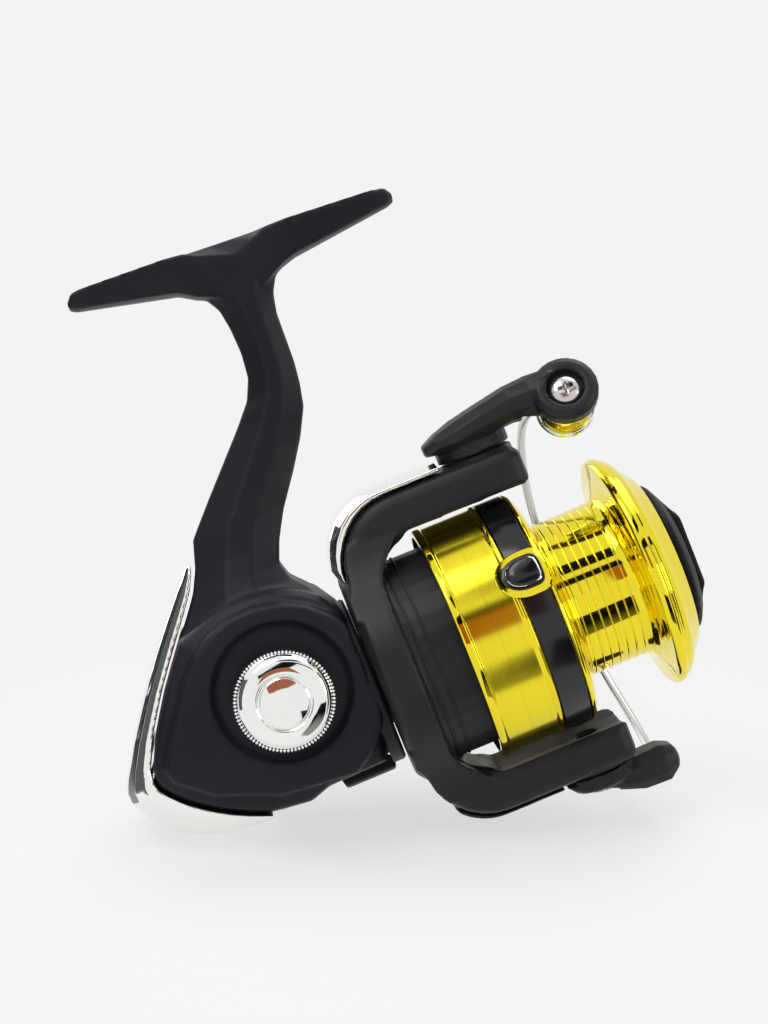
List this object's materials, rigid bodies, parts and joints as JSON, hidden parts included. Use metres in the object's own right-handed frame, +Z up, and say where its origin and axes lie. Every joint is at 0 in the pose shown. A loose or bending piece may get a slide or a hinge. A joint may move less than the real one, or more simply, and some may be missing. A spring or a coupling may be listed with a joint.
{
  "type": "spinning reel",
  "caption": "Open-faced spinning reel: turning a side handle spins a rotor and bail around a spool that strokes in and out, with a drag knob and an anti-reverse lever.",
  "frame": {"origin": "middle of the flat strip on top of the foot, where the rod's blank rests on it", "axes": "+X forward along the rod towards its tip, +Z up into the rod, +Y to the side that the handle is on"},
  "size_m": [0.1077, 0.099, 0.1146],
  "materials": {
    "body_housing": "soft-touch matte black",
    "side_cover": "soft-touch matte black",
    "rear_cover": "bright plated",
    "rear_cover_screw": "plain",
    "cover_screw_1": "plain",
    "cover_screw_2": "plain",
    "cover_screw_3": "plain",
    "near_drive_bearing": "shielded bearing",
    "far_drive_bearing": "shielded bearing",
    "pinion_bearing": "shielded bearing",
    "bearing_retainer": "plain",
    "one_way_clutch": "zinc cage",
    "guide_rod": "ground rod",
    "anti_reverse_lever": "moulded",
    "drive_gear": "die-cast zinc",
    "handle_cap": "bright plated, knurled",
    "handle_shank": "die-cast zinc",
    "handle_arm": "satin",
    "handle_arm_screw": "plain",
    "knob_pin": "plain",
    "handle_knob": "soft grip",
    "knob_end_cap": "bright plated",
    "oscillation_gear": "die-cast zinc",
    "main_shaft": "ground",
    "slider": "die-cast zinc",
    "slider_screw": "plain",
    "spool_washer": "plain",
    "spool": "gold anodised, turned",
    "skirt_band": "gloss black",
    "line_clip": "black",
    "click_gear": "moulded",
    "drag_felt_1": "felt",
    "drag_felt_2": "felt",
    "drag_felt_3": "felt",
    "drag_washer_1": "plain",
    "drag_washer_2": "plain",
    "drag_pressure_plate": "plain",
    "drag_retaining_ring": "plain",
    "drag_knob": "matte black",
    "drag_nut": "plain",
    "drag_spring": "plain",
    "rotor": "matte black",
    "pinion_gear": "plain",
    "rotor_nut": "plain",
    "nut_lock_ring": "plain",
    "arm_trim": "bright plated",
    "lower_arm_cover": "matte black",
    "bail_spring": "plain",
    "bail_arm_screw": "plain",
    "bail_lever_screw": "plain",
    "bail_arm": "matte black",
    "bail_lever": "matte black",
    "bail_wire": "polished wire",
    "roller_screw": "plain",
    "bail_cone": "polished",
    "line_roller": "polished gold"
  },
  "bodies": {
    "housing": {"body_housing": "body_housing", "side_cover": "side_cover", "rear_cover": "rear_cover", "rear_cover_screw": "rear_cover_screw", "cover_screw_1": "cover_screw_1", "cover_screw_2": "cover_screw_2", "cover_screw_3": "cover_screw_3", "near_drive_bearing": "near_drive_bearing", "far_drive_bearing": "far_drive_bearing", "pinion_bearing": "pinion_bearing", "bearing_retainer": "bearing_retainer", "one_way_clutch": "one_way_clutch", "guide_rod": "guide_rod"},
    "anti_reverse_lever": {"anti_reverse_lever": "anti_reverse_lever"},
    "handle": {"drive_gear": "drive_gear", "handle_cap": "handle_cap", "handle_shank": "handle_shank", "handle_arm": "handle_arm", "handle_arm_screw": "handle_arm_screw", "knob_pin": "knob_pin"},
    "knob": {"handle_knob": "handle_knob", "knob_end_cap": "knob_end_cap"},
    "oscillation_gear": {"oscillation_gear": "oscillation_gear"},
    "shaft": {"main_shaft": "main_shaft", "slider": "slider", "slider_screw": "slider_screw", "spool_washer": "spool_washer"},
    "spool": {"spool": "spool", "skirt_band": "skirt_band", "line_clip": "line_clip", "click_gear": "click_gear", "drag_felt_1": "drag_felt_1", "drag_washer_1": "drag_washer_1", "drag_felt_2": "drag_felt_2", "drag_washer_2": "drag_washer_2", "drag_felt_3": "drag_felt_3", "drag_pressure_plate": "drag_pressure_plate", "drag_retaining_ring": "drag_retaining_ring"},
    "drag_knob": {"drag_knob": "drag_knob", "drag_nut": "drag_nut", "drag_spring": "drag_spring"},
    "rotor": {"rotor": "rotor", "pinion_gear": "pinion_gear", "rotor_nut": "rotor_nut", "nut_lock_ring": "nut_lock_ring", "arm_trim": "arm_trim", "lower_arm_cover": "lower_arm_cover", "bail_spring": "bail_spring", "bail_arm_screw": "bail_arm_screw", "bail_lever_screw": "bail_lever_screw"},
    "bail": {"bail_arm": "bail_arm", "bail_lever": "bail_lever", "bail_wire": "bail_wire", "roller_screw": "roller_screw", "bail_cone": "bail_cone"},
    "line_roller": {"line_roller": "line_roller"}
  },
  "joints": [
    {"name": "handle_turn", "type": "hinge", "parent": "housing", "child": "handle", "pos_m": [-0.01633, 0, -0.07547], "axis": [0, 1, 0], "continuous": true},
    {"name": "knob_spin", "type": "hinge", "parent": "handle", "child": "knob", "pos_m": [0.03347, 0, -0.07991], "axis": [0, 1, 0], "continuous": true},
    {"name": "oscillation_turn", "type": "hinge", "parent": "housing", "child": "oscillation_gear", "pos_m": [-0.02695, 0, -0.07941], "axis": [0, 1, 0], "continuous": true},
    {"name": "rotor_turn", "type": "hinge", "parent": "housing", "child": "rotor", "pos_m": [0.0147, 0, -0.0793], "axis": [0.9987, 0, 0.0506], "continuous": true},
    {"name": "bail_open", "type": "hinge", "parent": "rotor", "child": "bail", "pos_m": [0.03018, 0, -0.07852], "axis": [0.0506, 0, -0.9987], "range_deg": [0, 110]},
    {"name": "roller_spin", "type": "hinge", "parent": "bail", "child": "line_roller", "pos_m": [0.04536, -0.0136, -0.0421], "axis": [0.0214, 0.9063, -0.4221], "continuous": true},
    {"name": "spool_stroke", "type": "slide", "parent": "housing", "child": "shaft", "axis": [0.9987, 0, 0.0506], "range_m": [0, 0.01]},
    {"name": "spool_slip", "type": "hinge", "parent": "shaft", "child": "spool", "pos_m": [0.0147, 0, -0.0793], "axis": [0.9987, 0, 0.0506], "continuous": true},
    {"name": "drag_turn", "type": "hinge", "parent": "shaft", "child": "drag_knob", "pos_m": [0.0147, 0, -0.0793], "axis": [0.9987, 0, 0.0506], "range_deg": [0, 360]},
    {"name": "anti_reverse_throw", "type": "hinge", "parent": "housing", "child": "anti_reverse_lever", "pos_m": [0.01523, 0, -0.08969], "axis": [0.9987, 0, 0.0506], "range_deg": [0, 48]}
  ],
  "couplings": [
    {"joint": "rotor_turn", "follows": "handle_turn", "ratio": -5.25},
    {"joint": "oscillation_turn", "follows": "handle_turn", "ratio": -0.5}
  ]
}
